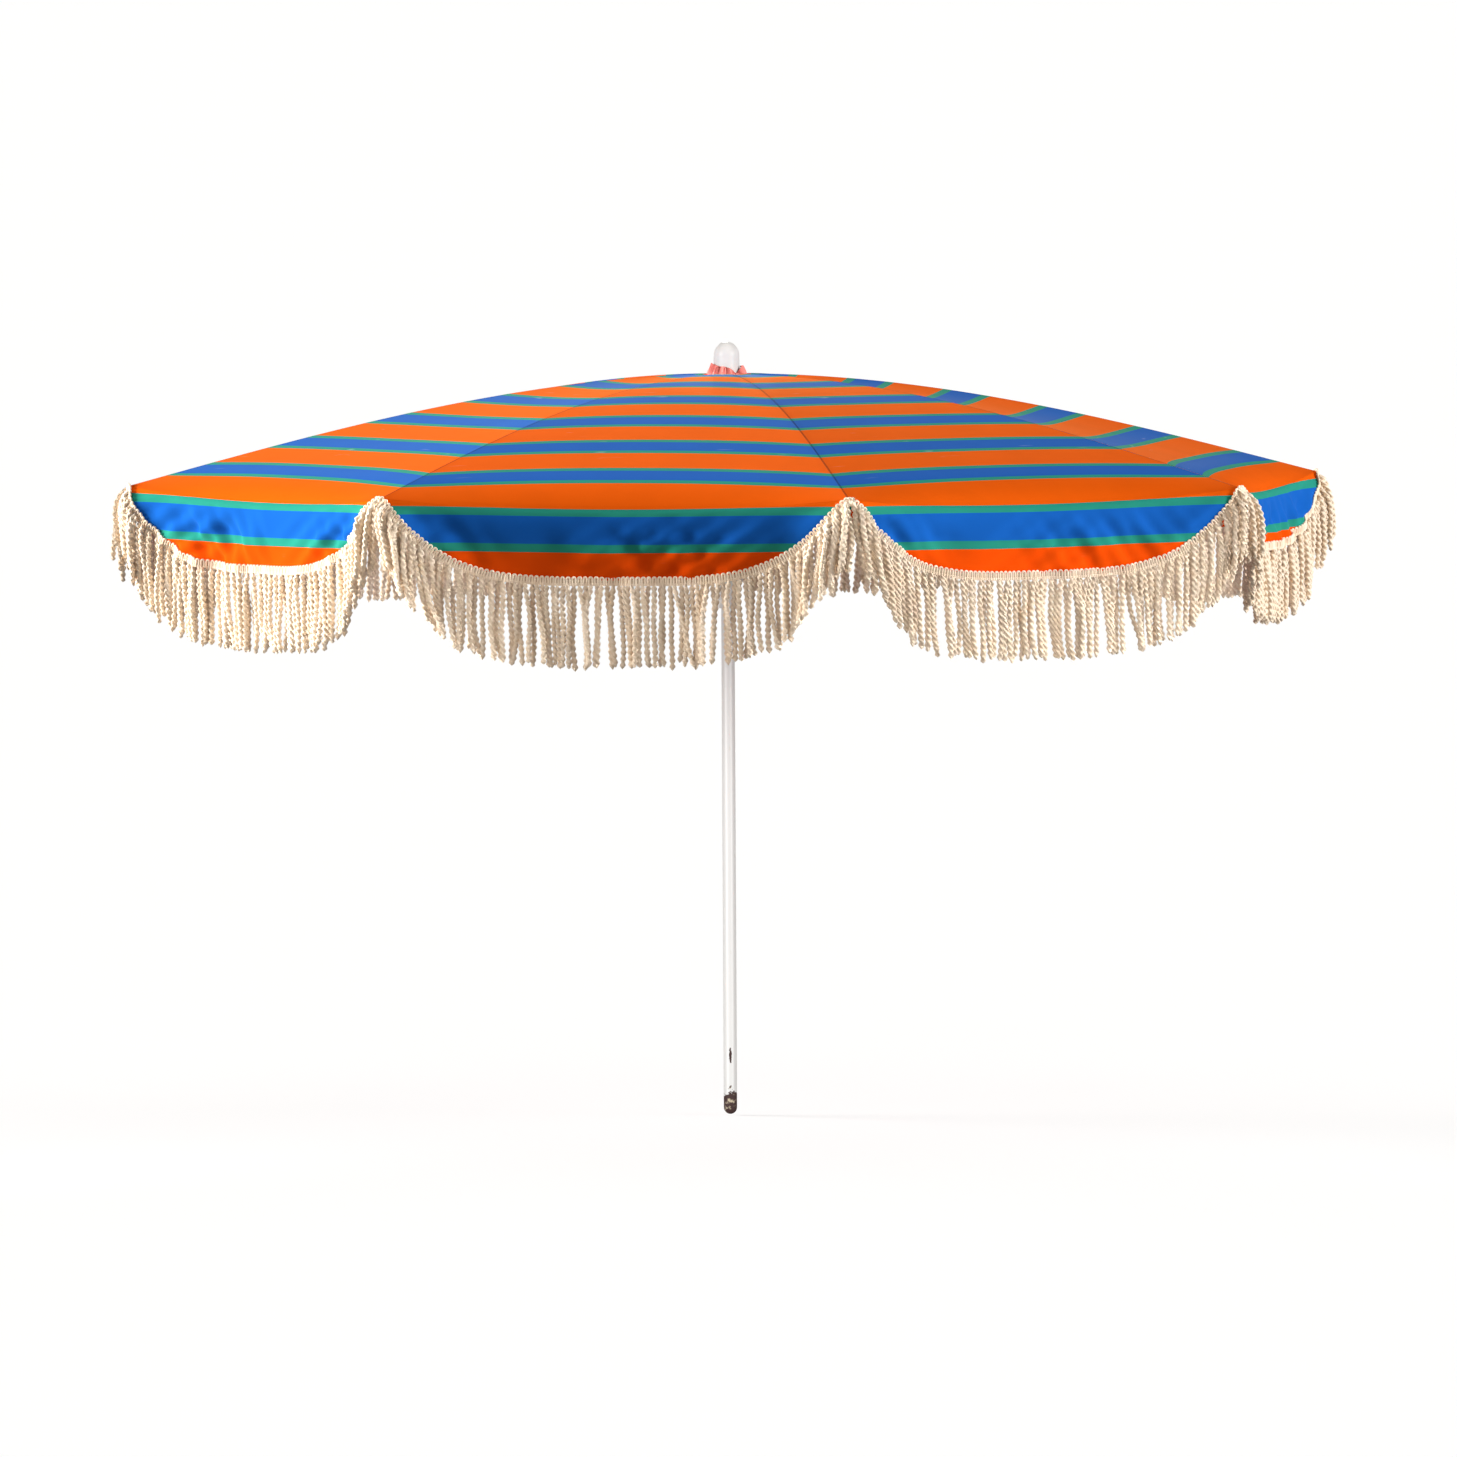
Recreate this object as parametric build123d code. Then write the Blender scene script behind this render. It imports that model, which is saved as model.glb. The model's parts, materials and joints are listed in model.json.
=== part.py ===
"""Beach umbrella, upper half: a striped eight-panel canopy with a scalloped, fringed edge,
opened by a runner that slides on the pole.

Millimetres, +Z up. The origin is the lower end of the pole, on its axis.
Rib 1 points along +X. Rib k stands at (k - 1) * 45 degrees, and panel k fills the gap after rib k.
"""

import os
from math import atan2, cos, degrees, hypot, radians

from build123d import *

# Canopy
PANELS = 8
STEP = 360 / PANELS
HALF_STEP = STEP / 2
CANOPY_R = 1000.0  # pole axis to a rib tip, seen from above
RIM_Z = 1055.0  # height of the rib tips
CANOPY_RISE = 173.5  # rib tips to the middle of the roof
ROOF_BEND = 0.97  # how late the roof starts to slope down
PANEL_DIP = 12.0  # sag of a panel's middle below its ribs, at the rim
CLOTH = 1.2
CLOTH_GAP = 0.4  # room between a cloth solid and whatever is next to it
CLOTH_HOLE_R = 14.0

# Hanging edge
SCALLOP_DEPTH = 120.0
CUSP_DEPTH = 12.0
SCALLOP_POWER = 3.7  # larger is squarer
FRINGE_LENGTH = 152.0
FRINGE_THICK = 8.0
EDGE_HALF = 380.0  # half the length of one hanging edge
CHORD_X = CANOPY_R * cos(radians(HALF_STEP))  # pole axis to the middle of a rim edge

# Ribs: steel channel, open side down
RIB_W = 5.0
RIB_H = 6.0
RIB_WALL = 0.8
RIB_END_R = 990.0
RIB_GAP = 0.9  # rib to the cloth above it; the cloth dips on both sides of the rib
RIB_CENTRE_DROP = CLOTH + RIB_GAP + RIB_H / 2
TONGUE = 2.4  # thickness of the flattened ends
TONGUE_LENGTH = 15.0

# Crown
HINGE_WIRE_R = 1.0
EYE_R = 1.1
CROWN_RING_R = 17.0
CROWN_R = 24.0
CROWN_TOP = 1226.0
CROWN_BOTTOM = 1213.0
CROWN_SLEEVE_R = 14.0
CROWN_SLEEVE_BOTTOM = 1193.0
CROWN_SLOT_FLOOR_R = 13.0
CROWN_PIN_R = 1.5
CROWN_PIN_Z = 1202.0
SLOT_W = 3.0

# Stretchers: steel channel that the rib folds into
RIVET_R = 420.0  # where the stretcher meets the rib, from the pole axis
RIVET_DROP = 1.0  # below the rib's middle line
RIVET_PIN_R = 1.5
RIVET_HEAD_R = 2.6
RIVET_HEAD_H = 0.9
STRETCHER_W = 7.2
STRETCHER_WALL = 0.7
STRETCHER_WEB = 3.0  # inner face of the web, from the line through both pivots
STRETCHER_LIP = 2.2
STRETCHER_EAR_R = 3.2
STRETCHER_WEB_START = 13.0

# Pole
POLE_R = 11.0
POLE_WALL = 1.2
POLE_TOP = 1262.0
GROOVE_HEIGHTS = (710.0, 743.0)
GROOVE_R = 0.8
GROOVE_DEPTH = 0.35
HOLE_GAP = 0.05

# Runner
RUNNER_PIVOT_R = 21.0
RUNNER_DROP = 332.0  # crown pivot down to the runner pivot, canopy open
RUNNER_BORE_R = 11.3
RUNNER_SLEEVE_R = 15.0
RUNNER_BOTTOM = 840.0
RUNNER_FLANGE_R = 27.0
RUNNER_FLANGE_H = 15.0
RUNNER_SLOT_FLOOR_R = 16.5
RUNNER_GRIP_R = 18.0
RUNNER_GRIP_H = 7.0

# Spring catch under the runner
CATCH_ANGLE = 247.5
CATCH_THICK = 2.4
CATCH_TOP = 839.4
CATCH_HEIGHT = 20.0
CATCH_OUT_R = 15.5
CATCH_IN_R = 5.0
SLOT_GAP = 0.5
SPRING_THICK = 0.7
SPRING_X = 3.6
SPRING_W = 5.0
CATCH_PIN_R = 1.2
CATCH_PIN_Z = 782.0

# Finial and the gathered cloth round it
FINIAL_R = 21.5
FINIAL_TOP_R = 21.2
FINIAL_DOME = 24.0  # height of the rounded top
FINIAL_BOTTOM = 1228.8
FINIAL_TOP = 1281.0
FINIAL_BORE_TOP = 1263.0
COLLAR_R = 34.0
COLLAR_TOP_R = 24.5
COLLAR_HOLE_R = 22.0
COLLAR_BOTTOM = 1228.6
COLLAR_TOP = 1242.0


def roof_z(r):
    """Top of the cloth along a rib."""
    return RIM_Z + CANOPY_RISE * cos(radians(90) * (r / CANOPY_R) ** ROOF_BEND)


def spaced(start, end, count):
    return [start + (end - start) * i / (count - 1) for i in range(count)]


def band(points, height):
    """The flat face between a curve through the points and the same curve moved down."""
    lowered = [(x, y - height) for x, y in points]
    top = Spline(*points)
    end = Line(points[-1], lowered[-1])
    bottom = Spline(*reversed(lowered))
    start = Line(lowered[0], points[0])
    return make_face([top, end, bottom, start])


def upright(face):
    """Stands a face drawn as (distance from the axis, height) on the plane of rib 1."""
    return Plane.XZ * face


def slab(face, width):
    return extrude(upright(face), amount=width / 2, both=True)


def cross_pin(r, length, x, z):
    """A round bar along Y through (x, z)."""
    return Pos(x, 0, z) * Rot(90, 0, 0) * Cylinder(r, length)


def around(shape, angle):
    return Rot(0, 0, angle) * shape


CROWN_PIVOT_Z = roof_z(CROWN_RING_R) - RIB_CENTRE_DROP
RUNNER_PIVOT_Z = CROWN_PIVOT_Z - RUNNER_DROP
RIVET_Z = roof_z(RIVET_R) - RIB_CENTRE_DROP - RIVET_DROP


def rib():
    centre = [(r, roof_z(r) - RIB_CENTRE_DROP) for r in spaced(CROWN_RING_R, RIB_END_R, 12)]
    outer = band([(r, z + RIB_H / 2) for r, z in centre], RIB_H)
    tongue_end = CROWN_RING_R + TONGUE_LENGTH
    hollow_r = spaced(tongue_end, RIB_END_R - TONGUE_LENGTH, 12)
    hollow = band([(r, roof_z(r) - CLOTH - RIB_GAP - RIB_WALL) for r in hollow_r], RIB_H)
    channel = slab(outer, RIB_W) - slab(hollow, RIB_W - 2 * RIB_WALL)
    tip_z = roof_z(RIB_END_R) - RIB_CENTRE_DROP
    channel += cross_pin(RIB_H / 2, RIB_W, RIB_END_R, tip_z)
    channel -= cross_pin(1.0, RIB_W, RIB_END_R, tip_z)
    thinning = Box(2 * TONGUE_LENGTH, RIB_W, 4 * RIB_H)
    for side in (1, -1):
        y = side * (TONGUE + RIB_W) / 2
        channel -= Pos(tongue_end - 2 - TONGUE_LENGTH, y, CROWN_PIVOT_Z) * thinning
    channel += cross_pin(RIB_H / 2, TONGUE, CROWN_RING_R, CROWN_PIVOT_Z)
    channel -= cross_pin(EYE_R, RIB_W, CROWN_RING_R, CROWN_PIVOT_Z)
    channel -= cross_pin(RIVET_PIN_R + HOLE_GAP, RIB_W, RIVET_R, RIVET_Z)
    return channel


def rib_rivet():
    shank = cross_pin(RIVET_PIN_R, STRETCHER_W + 2 * HOLE_GAP, RIVET_R, RIVET_Z)
    head_y = STRETCHER_W / 2 + HOLE_GAP + RIVET_HEAD_H / 2
    for side in (1, -1):
        head = cross_pin(RIVET_HEAD_R, RIVET_HEAD_H, RIVET_R, RIVET_Z)
        shank += Pos(0, side * head_y, 0) * head
    return shank


def stretcher():
    """Drawn along +X from the rivet at the origin, web on the +Z side, then turned into place."""
    dx = RUNNER_PIVOT_R - RIVET_R
    dz = RUNNER_PIVOT_Z - RIVET_Z
    length = hypot(dx, dz)
    tongue_start = length - TONGUE_LENGTH - 3
    web_top = STRETCHER_WEB + STRETCHER_WALL
    height = web_top + STRETCHER_LIP
    inside = STRETCHER_W - 2 * STRETCHER_WALL
    body = Pos(tongue_start / 2, 0, web_top - height / 2) * Box(tongue_start, STRETCHER_W, height)
    body += cross_pin(STRETCHER_EAR_R, STRETCHER_W, 0, 0)
    channel_end = tongue_start - 6
    cut_length = channel_end + 20
    channel = Box(cut_length, inside, height + 10)
    body -= Pos(channel_end - cut_length / 2, 0, STRETCHER_WEB - (height + 10) / 2) * channel
    corner = Box(40, STRETCHER_W, 20)
    body -= Pos(STRETCHER_WEB_START - 20, 0, STRETCHER_EAR_R - 0.6 + 10) * corner
    between_ears = Box(STRETCHER_WEB_START + 20, inside, 20)
    body -= Pos((STRETCHER_WEB_START - 20) / 2, 0, 0) * between_ears
    tongue_length = length - tongue_start + 6
    tongue_x = length - tongue_length / 2
    body += Pos(tongue_x, 0, 0) * Box(tongue_length, TONGUE, 2 * EYE_R + 3.4)
    body += cross_pin(EYE_R + 1.7, TONGUE, length, 0)
    body -= cross_pin(EYE_R, STRETCHER_W, length, 0)
    body -= cross_pin(RIVET_PIN_R + HOLE_GAP, STRETCHER_W, 0, 0)
    turn = degrees(atan2(dz, dx))
    # The half turn about the bar's own line puts the web on the side towards the crown.
    return Pos(RIVET_R, 0, RIVET_Z) * Rot(0, -turn, 0) * Rot(180, 0, 0) * body


def gore():
    """One roof panel, centred on the plane of rib 1, from the crown to the rim edge."""
    at_rib = [(r, roof_z(r)) for r in spaced(CLOTH_HOLE_R, CANOPY_R, 10)]
    shrink = cos(radians(HALF_STEP))
    in_middle = [(r * shrink, z - PANEL_DIP * r / CANOPY_R) for r, z in at_rib]
    seam_face = upright(band(at_rib, CLOTH))
    middle_face = upright(band(in_middle, CLOTH))
    left = Rot(0, 0, HALF_STEP) * Pos(0, -CLOTH_GAP, 0) * seam_face
    right = Rot(0, 0, -HALF_STEP) * Pos(0, CLOTH_GAP, 0) * seam_face
    return loft([left, middle_face, right])


def scallop_z(y):
    """The curved hem of a hanging edge: shallow under the ribs, deepest between them."""
    across = abs(y) / EDGE_HALF
    return RIM_Z - CUSP_DEPTH - (SCALLOP_DEPTH - CUSP_DEPTH) * (1 - across**SCALLOP_POWER)


def edge_rows():
    """Even steps along the hem, with a closer one at each steep end."""
    middle = spaced(-0.9 * EDGE_HALF, 0.9 * EDGE_HALF, 13)
    return [-EDGE_HALF, -0.96 * EDGE_HALF] + middle + [0.96 * EDGE_HALF, EDGE_HALF]


def hanging(face, thickness, middle_x):
    """Stands a face drawn as (along the rim edge, height) across the panel's middle plane."""
    plane = Plane(origin=(middle_x - thickness / 2, 0, 0), x_dir=(0, 1, 0), z_dir=(1, 0, 0))
    return extrude(plane * face, amount=thickness)


def valance():
    """The cloth that hangs from the rim edge down to the scalloped hem."""
    hem = Spline(*[(y, scallop_z(y)) for y in edge_rows()])
    under_roof = RIM_Z - CLOTH - CLOTH_GAP
    top = ThreePointArc((-EDGE_HALF, under_roof), (0, under_roof - PANEL_DIP), (EDGE_HALF, under_roof))
    sides = [Line(hem @ 0, top @ 0), Line(hem @ 1, top @ 1)]
    return hanging(make_face([hem, top] + sides), CLOTH, CHORD_X - CLOTH / 2)


def fringe():
    """The twisted cords below the hem, as one curtain of their outer size."""
    points = [(y, scallop_z(y) - CLOTH_GAP) for y in edge_rows()]
    return hanging(band(points, FRINGE_LENGTH), FRINGE_THICK, CHORD_X - CLOTH / 2)


def pole_tube():
    def rounded_bar(r, bottom):
        return Pos(0, 0, bottom + r) * (Sphere(r) + Pos(0, 0, 1000) * Cylinder(r, 2000))

    tube = rounded_bar(POLE_R, 0) - rounded_bar(POLE_R - POLE_WALL, POLE_WALL)
    tube -= Pos(0, 0, POLE_TOP + 1000) * Cylinder(2 * POLE_R, 2000)
    for z in GROOVE_HEIGHTS:
        tube -= Pos(0, 0, z) * Torus(POLE_R + GROOVE_R - GROOVE_DEPTH, GROOVE_R)
    tube -= around(cross_pin(CROWN_PIN_R + HOLE_GAP, 4 * POLE_R, 0, CROWN_PIN_Z), HALF_STEP)
    slot = Box(POLE_R, CATCH_THICK + 2 * SLOT_GAP, CATCH_HEIGHT + 2 * SLOT_GAP)
    tube -= around(Pos(POLE_R, 0, CATCH_TOP - CATCH_HEIGHT / 2) * slot, CATCH_ANGLE)
    tube -= around(cross_pin(CATCH_PIN_R + HOLE_GAP, 4 * POLE_R, 0, CATCH_PIN_Z), CATCH_ANGLE)
    return tube


def slots(floor_r, bottom, top):
    """Eight radial slots, open outwards, above and below."""
    one = Pos(floor_r + 20, 0, (bottom + top) / 2) * Box(40, SLOT_W, top - bottom + 2)
    return [around(one, STEP * i) for i in range(PANELS)]


def ring_wire_hole(ring_r, z):
    return Pos(0, 0, z) * Torus(ring_r, HINGE_WIRE_R + HOLE_GAP)


def tube_between(r, bore, bottom, top):
    height = top - bottom
    return Pos(0, 0, (bottom + top) / 2) * (Cylinder(r, height) - Cylinder(bore, height + 2))


def crown_hub():
    bore = POLE_R + HOLE_GAP
    hub = tube_between(CROWN_R, bore, CROWN_BOTTOM, CROWN_TOP)
    hub += tube_between(CROWN_SLEEVE_R, bore, CROWN_SLEEVE_BOTTOM, CROWN_BOTTOM)
    for slot in slots(CROWN_SLOT_FLOOR_R, CROWN_BOTTOM, CROWN_TOP):
        hub -= slot
    hub -= ring_wire_hole(CROWN_RING_R, CROWN_PIVOT_Z)
    hub -= around(cross_pin(CROWN_PIN_R + HOLE_GAP, 4 * POLE_R, 0, CROWN_PIN_Z), HALF_STEP)
    return hub


def crown_wire():
    return Pos(0, 0, CROWN_PIVOT_Z) * Torus(CROWN_RING_R, HINGE_WIRE_R)


def crown_pin():
    return around(cross_pin(CROWN_PIN_R, 2 * CROWN_SLEEVE_R, 0, CROWN_PIN_Z), HALF_STEP)


def runner():
    flange_bottom = RUNNER_PIVOT_Z - RUNNER_FLANGE_H / 2
    flange_top = flange_bottom + RUNNER_FLANGE_H
    body = tube_between(RUNNER_FLANGE_R, RUNNER_BORE_R, flange_bottom, flange_top)
    body += tube_between(RUNNER_SLEEVE_R, RUNNER_BORE_R, RUNNER_BOTTOM, flange_bottom)
    grip_top = RUNNER_BOTTOM + RUNNER_GRIP_H
    body += tube_between(RUNNER_GRIP_R, RUNNER_BORE_R, RUNNER_BOTTOM, grip_top)
    for slot in slots(RUNNER_SLOT_FLOOR_R, flange_bottom, flange_top):
        body -= slot
    body -= ring_wire_hole(RUNNER_PIVOT_R, RUNNER_PIVOT_Z)
    return body


def runner_wire():
    """The hinge wire where the runner's teeth hold it; it is open at each stretcher eye."""
    ring = Pos(0, 0, RUNNER_PIVOT_Z) * Torus(RUNNER_PIVOT_R, HINGE_WIRE_R)
    for slot in slots(RUNNER_SLOT_FLOOR_R, RUNNER_PIVOT_Z - 5, RUNNER_PIVOT_Z + 5):
        ring -= slot
    return ring


def catch_blade():
    bottom = CATCH_TOP - CATCH_HEIGHT
    slope_start = POLE_R - POLE_WALL
    outline = Polyline(
        (CATCH_IN_R, bottom),
        (slope_start, bottom),
        (CATCH_OUT_R, CATCH_TOP),
        (CATCH_IN_R, CATCH_TOP),
        close=True,
    )
    return around(slab(make_face(outline), CATCH_THICK), CATCH_ANGLE)


def catch_spring():
    """A leaf that stands behind the blade, with an eye round the cross pin."""
    height = CATCH_TOP - CATCH_PIN_Z
    leaf = Pos(SPRING_X, 0, CATCH_PIN_Z + height / 2) * Box(SPRING_THICK, SPRING_W, height)
    foot_x = (SPRING_X + SPRING_THICK / 2) / 2
    leaf += Pos(foot_x, 0, CATCH_PIN_Z) * Box(2 * foot_x, SPRING_W, 1.6)
    leaf += cross_pin(CATCH_PIN_R + 0.9, SPRING_W, 0, CATCH_PIN_Z)
    leaf -= cross_pin(CATCH_PIN_R + HOLE_GAP, SPRING_W, 0, CATCH_PIN_Z)
    return around(leaf, CATCH_ANGLE)


def catch_pin():
    return around(cross_pin(CATCH_PIN_R, 2 * POLE_R - 1, 0, CATCH_PIN_Z), CATCH_ANGLE)


def finial_cap():
    """A slightly tapered cap with a rounded top."""
    shoulder_z = FINIAL_TOP - FINIAL_DOME
    dome_side = (FINIAL_TOP_R * cos(radians(45)), shoulder_z + FINIAL_DOME * cos(radians(45)))
    outline = [
        Line((0, FINIAL_BOTTOM), (FINIAL_R, FINIAL_BOTTOM)),
        Line((FINIAL_R, FINIAL_BOTTOM), (FINIAL_TOP_R, shoulder_z)),
        Spline((FINIAL_TOP_R, shoulder_z), dome_side, (0, FINIAL_TOP), tangents=[(0, 1), (-1, 0)]),
        Line((0, FINIAL_TOP), (0, FINIAL_BOTTOM)),
    ]
    cap = revolve(upright(make_face(outline)), Axis.Z)
    bore_height = FINIAL_BORE_TOP - FINIAL_BOTTOM
    cap -= Pos(0, 0, FINIAL_BOTTOM + bore_height / 2) * Cylinder(POLE_R + HOLE_GAP, bore_height)
    return cap


def gather_collar():
    """The cloth gathered round the foot of the finial, as a flared ring."""
    height = COLLAR_TOP - COLLAR_BOTTOM
    ring = Cone(COLLAR_R, COLLAR_TOP_R, height) - Cylinder(COLLAR_HOLE_R, height + 2)
    return Pos(0, 0, COLLAR_BOTTOM + height / 2) * ring


def save(name, shape):
    export_step(shape, f"parts/{name}.step")


os.makedirs("parts", exist_ok=True)

singles = {
    "pole_tube": pole_tube(),
    "crown_hub": crown_hub(),
    "crown_wire": crown_wire(),
    "crown_pin": crown_pin(),
    "finial_cap": finial_cap(),
    "gather_collar": gather_collar(),
    "runner": runner(),
    "runner_wire": runner_wire(),
    "catch_blade": catch_blade(),
    "catch_spring": catch_spring(),
    "catch_pin": catch_pin(),
}
for name, shape in singles.items():
    save(name, shape)

at_ribs = {"rib": rib(), "rib_rivet": rib_rivet(), "stretcher": stretcher()}
between_ribs = {"gore": gore(), "valance": valance(), "fringe": fringe()}
for k in range(1, PANELS + 1):
    rib_angle = STEP * (k - 1)
    for name, shape in at_ribs.items():
        save(f"{name}_{k}", around(shape, rib_angle))
    for name, shape in between_ribs.items():
        save(f"{name}_{k}", around(shape, rib_angle + HALF_STEP))
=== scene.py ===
"""Beach umbrella, upper half: cloth, fringe, finishes, light and camera over the CAD frame.

Metres, +Z up, the origin at the lower end of the pole. Rib 1 points along +X, and panel k fills
the gap after rib k. Every panel is made once in its own frame, with its middle line along +X,
and then turned to its place.
"""

import json
from math import cos, pi, radians, sin, tan

import bpy
import numpy as np
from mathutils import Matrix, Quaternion, Vector

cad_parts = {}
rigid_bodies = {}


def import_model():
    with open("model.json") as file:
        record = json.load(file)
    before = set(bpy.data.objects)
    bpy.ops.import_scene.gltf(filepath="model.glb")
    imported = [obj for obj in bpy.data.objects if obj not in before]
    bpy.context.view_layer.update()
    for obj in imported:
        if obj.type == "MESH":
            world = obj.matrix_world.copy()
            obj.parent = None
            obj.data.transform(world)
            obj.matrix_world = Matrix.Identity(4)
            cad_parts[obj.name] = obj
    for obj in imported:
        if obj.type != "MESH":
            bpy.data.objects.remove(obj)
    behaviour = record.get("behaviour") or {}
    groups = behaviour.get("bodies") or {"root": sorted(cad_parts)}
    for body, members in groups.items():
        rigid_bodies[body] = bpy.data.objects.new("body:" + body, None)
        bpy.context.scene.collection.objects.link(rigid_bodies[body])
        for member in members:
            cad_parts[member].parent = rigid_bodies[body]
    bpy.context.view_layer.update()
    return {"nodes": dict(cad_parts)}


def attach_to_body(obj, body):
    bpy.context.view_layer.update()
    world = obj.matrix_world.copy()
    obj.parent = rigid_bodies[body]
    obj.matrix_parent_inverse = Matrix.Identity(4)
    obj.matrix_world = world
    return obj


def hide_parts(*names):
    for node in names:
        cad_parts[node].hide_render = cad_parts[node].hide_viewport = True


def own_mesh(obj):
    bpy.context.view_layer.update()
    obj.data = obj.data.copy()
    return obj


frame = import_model()

# ---------------------------------------------------------------- sizes
PANELS = 8
STEP = radians(360 / PANELS)
HALF_STEP = STEP / 2
RIM_Z = 1.055
CANOPY_R = 1.0
CANOPY_RISE = 0.1735
ROOF_BEND = 0.97
RIM_X = CANOPY_R * cos(HALF_STEP)  # pole axis to the middle of a rim edge
RIM_HALF = CANOPY_R * sin(HALF_STEP)  # half the length of a rim edge
HUB_X = 0.0155  # the roof cloth starts this far from the pole's axis
ROOF_ROWS = 110
ROOF_COLS = 56

DROOP_START = 0.81  # from here to the rim the cloth droops and draws in between the ribs
DROOP_DEPTH = 0.020
DROOP_POWER = 2.6
DRAW_IN = 0.017
LEAST_DIP = 0.001
SEAM_GAP = 0.0004  # each panel stops this far short of the middle of its rib
TAPE_OFFSETS = (-0.010, -0.005, 0.0, 0.005, 0.010)
TAPE_DROP = 0.0011  # the tape under each seam lies this far below the roof cloth

STRIPE_PERIOD = 0.147
STRIPE_START = 0.9195  # where the outermost coloured band starts, along the panel
BAND_WIDTH = 0.072
GREEN_WIDTH = 0.0135
SEAM_SHADOW_WIDTH = 0.0013
# How far the stripes run on outwards at the seams, against the distance from the pole.
SEAM_SHIFT = ((0.0, 0.70, 0.85, 0.924), (0.0, 0.015, 0.027, 0.0155))
SHIFT_POWER = 2.4

HEM_DEPTH = 0.151
HEM_ROUND = 0.024
HEM_FLARE = 0.014  # how far the hem stands out beside a rib tip
FLARE_WIDTH = 0.07
HEM_RISE = 0.003  # the braid stands this much above each rib tip
HEM_TUCK = 0.006  # how far the cloth reaches down behind the braid
VALANCE_ROWS = 34
LAP = 0.012  # how far the hanging cloth reaches back under the roof
LAP_DROP = 0.0007
LONGEST_FALL = 0.16
MIDDLE_SLOPE = radians(48)  # how steeply the cloth leaves the rim midway between the ribs
RIB_SLOPE = radians(27)  # how much steeper it leaves beside them
TURN_DOWN = 0.012  # the length over which it turns to hang straight down

# Soft folds of the hanging cloth: wavelength, slant and relative size of each.
FOLDS = ((0.17, 0.9, 1.4), (0.11, -1.3, 1.1), (0.07, 1.6, 0.7), (0.045, -0.7, 0.45))
FOLD_SIZE = 0.0048
DRAG_SIZE = 1.9  # the folds that fan out from each rib tip, relative to the others
DRAG_REACH = 0.19

LOOP_PITCH = 0.009
LOOP_HALF = LOOP_PITCH * 0.285  # half the width of one loop
LOOP_HEIGHT = 0.0135
LOOP_THREAD_R = 0.00175
CROSS_THREAD_R = 0.0011
CROSS_THREAD_DEPTHS = (0.0105, 0.0128)
BACKING_DEPTHS = (0.0030, 0.006, 0.0095, 0.0135)
BACKING_OFFSET = 0.0012
CORD_LENGTH = 0.141
CORD_STAND = 0.024  # how far the cords beside a rib tip bulge outwards
CORD_SPLAY = 0.016  # how far the cords beside a rib tip lean away from it
CORD_DRIFT = 0.004  # how far every cord leans the same way round
BEHIND_TIP = 0.055  # a second row of cords hangs this far along from each rib tip
CORD_PITCH = 0.0090
CORD_TWIST = 0.0205  # length of one full turn of the strands
STRAND_R = (0.0027, 0.0030)
STRAND_SPREAD = 0.85  # the strands' distance from the cord's middle, against their radius
BUNCH_LEAN = 0.0038
BUNCH_PULL = (0.05, 0.40)  # how far the cords of a bunch draw together
OWN_LEAN = 0.002
STRAY_SHARE = 0.06  # share of the cords that lean well out of their bunch
STRAY_LEAN = 0.016
SPLAY_WIDTH = 0.16
CORD_BEND = 0.004
CORD_DEPTH = 0.004  # how far a cord's foot drifts in or out
TIP_SHORTER = 0.17  # share by which the cords at a rib tip are shorter
LENGTH_SPREAD = 0.0032
FRONT_ROWS = 0.0025  # every other front cord hangs this far in, the rest this far out
BACK_ROW = -0.0045
TIP_LIFT = 0.007
BULGE_LENGTH = 0.013
FOOT_ROUND = 0.004
NECK_LENGTH = 0.008

# How far each panel's middle sags below its ribs, and how its hem and cords differ from the others:
# (sag, share of the full depth, squareness towards rib k, squareness towards the next rib,
# share of the full cord length).
PANEL_SHAPES = {
    1: (0.010, 0.82, 3.0, 3.9, 0.82),
    2: (0.012, 0.84, 4.1, 3.8, 0.82),
    3: (0.012, 0.84, 4.0, 4.1, 0.82),
    4: (0.012, 0.84, 3.8, 3.4, 0.82),
    5: (0.003, 0.96, 4.0, 3.6, 0.90),
    6: (-0.004, 1.00, 4.2, 4.0, 0.94),
    7: (0.000, 0.99, 4.0, 3.8, 0.92),
    8: (0.010, 0.84, 3.6, 3.0, 0.83),
}

# The height of the gathered cloth at the finial: (degrees round from GATHER_FRONT, height).
GATHER_FRONT = radians(258.8)
GATHER_PROFILE = (
    (-180, 0.011),
    (-110, 0.007),
    (-90, 0.010),
    (-60, 0.018),
    (-35, 0.014),
    (-12, 0.0115),
    (0, 0.0125),
    (20, 0.008),
    (42, 0.0015),
    (60, 0.002),
    (70, 0.015),
    (85, 0.014),
    (110, 0.008),
    (180, 0.011),
)
GATHER_CREASES = 28

# The worn end of the pole, and a chip in its paint above that.
POLE_R = 0.011
WORN_HEIGHT = 0.0365
WORN_EDGE = 0.0015
WORN_RAGGED = 0.085  # how far the paint's edge wanders up and down
PAINT_ROUGHNESS = 0.38
CHIP_AZIMUTH = radians(-9)
CHIP_Z = 0.098
CHIP_SIZE = 0.0036
CHIP_SQUASH = 0.165  # the chip's width against its height
CHIP_WAVE = 0.003

CAMERA_AZIMUTH = radians(-11.2)
CAMERA_ROLL = radians(-0.3)
CAMERA_DISTANCE = 26.75
CAMERA_Z = 2.013
CAMERA_AIM_Z = 0.640
CAMERA_LENS = 399.5
AMBIENT = 0.335
KEY_AZIMUTH = radians(-105)
KEY_ELEVATION = radians(8)
KEY_SPREAD = radians(32)
KEY_COLOUR = (1.0, 0.985, 0.96)

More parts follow.
